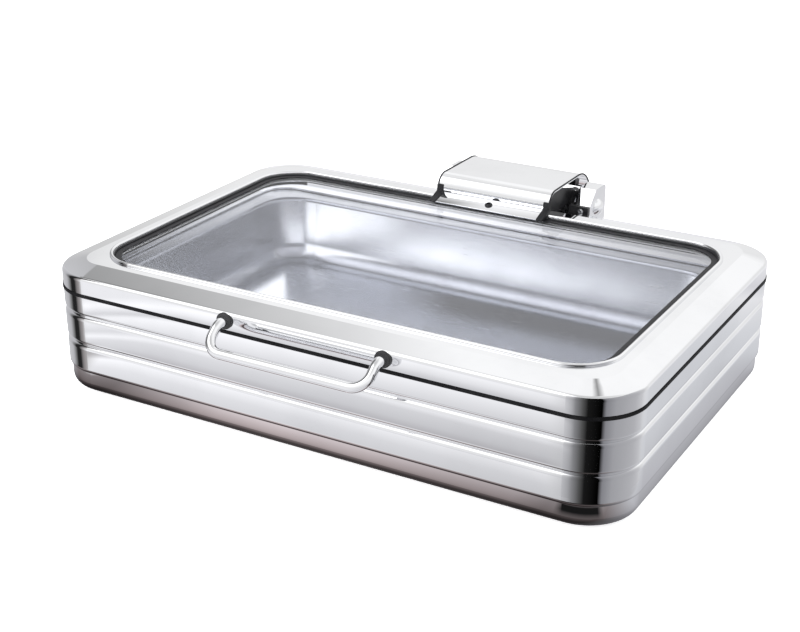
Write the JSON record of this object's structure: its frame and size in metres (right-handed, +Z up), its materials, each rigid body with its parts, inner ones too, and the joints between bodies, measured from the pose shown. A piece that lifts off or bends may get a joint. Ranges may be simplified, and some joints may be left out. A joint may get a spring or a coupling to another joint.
{
  "type": "induction chafing dish",
  "caption": "Rectangular polished-steel chafing dish with a ribbed water pan on an induction base, a lift-out food pan and a framed glass lid on a damped rear hinge.",
  "frame": {"origin": "middle of the face that the dish stands on, below the middle of the body", "axes": "+X along the long side to the right, +Y to the hinge at the rear, +Z up"},
  "size_m": [0.57, 0.485, 0.146],
  "materials": {
    "polished_steel": "mirror polished",
    "satin_steel": "satin",
    "plain_steel": "plain rolled",
    "aluminium": "plain",
    "glass": "clear",
    "silicone": "matt",
    "black_plastic": "matt",
    "bush_plastic": "plain",
    "black_casting": "black coated"
  },
  "bodies": {
    "base": {"water_pan": "polished_steel", "rim_frame": "polished_steel", "heat_spreader": "aluminium", "induction_plate": "plain_steel", "hinge_bracket": "polished_steel", "bracket_studs": "plain_steel", "bracket_nuts": "plain_steel", "hinge_pin": "plain_steel", "pin_caps": "polished_steel", "damper_bodies": "black_plastic", "damper_clamps": "black_plastic", "stop_buffers": "silicone"},
    "pan": {"food_pan": "satin_steel"},
    "lid": {"lid_frame": "polished_steel", "lid_liner": "satin_steel", "glass_panel": "glass", "glass_gasket": "silicone", "lid_buffers": "silicone", "handle": "polished_steel", "handle_ferrules": "black_plastic", "handle_stiffener": "plain_steel", "handle_washers": "plain_steel", "handle_screws": "plain_steel", "hinge_leaf": "black_casting", "leaf_backing": "plain_steel", "leaf_screws": "plain_steel", "hinge_bushes": "bush_plastic", "damper_rotors": "black_plastic", "hinge_hood": "polished_steel", "hood_end_covers": "black_plastic"}
  },
  "joints": [
    {"name": "lid_hinge", "type": "hinge", "parent": "base", "child": "lid", "pos_m": [0, 0.228, 0.115], "axis": [-1, 0, 0], "range_deg": [0, 90]},
    {"name": "pan_lift", "type": "slide", "parent": "base", "child": "pan", "axis": [0, 0, 1], "range_m": [0, 0.015]}
  ]
}
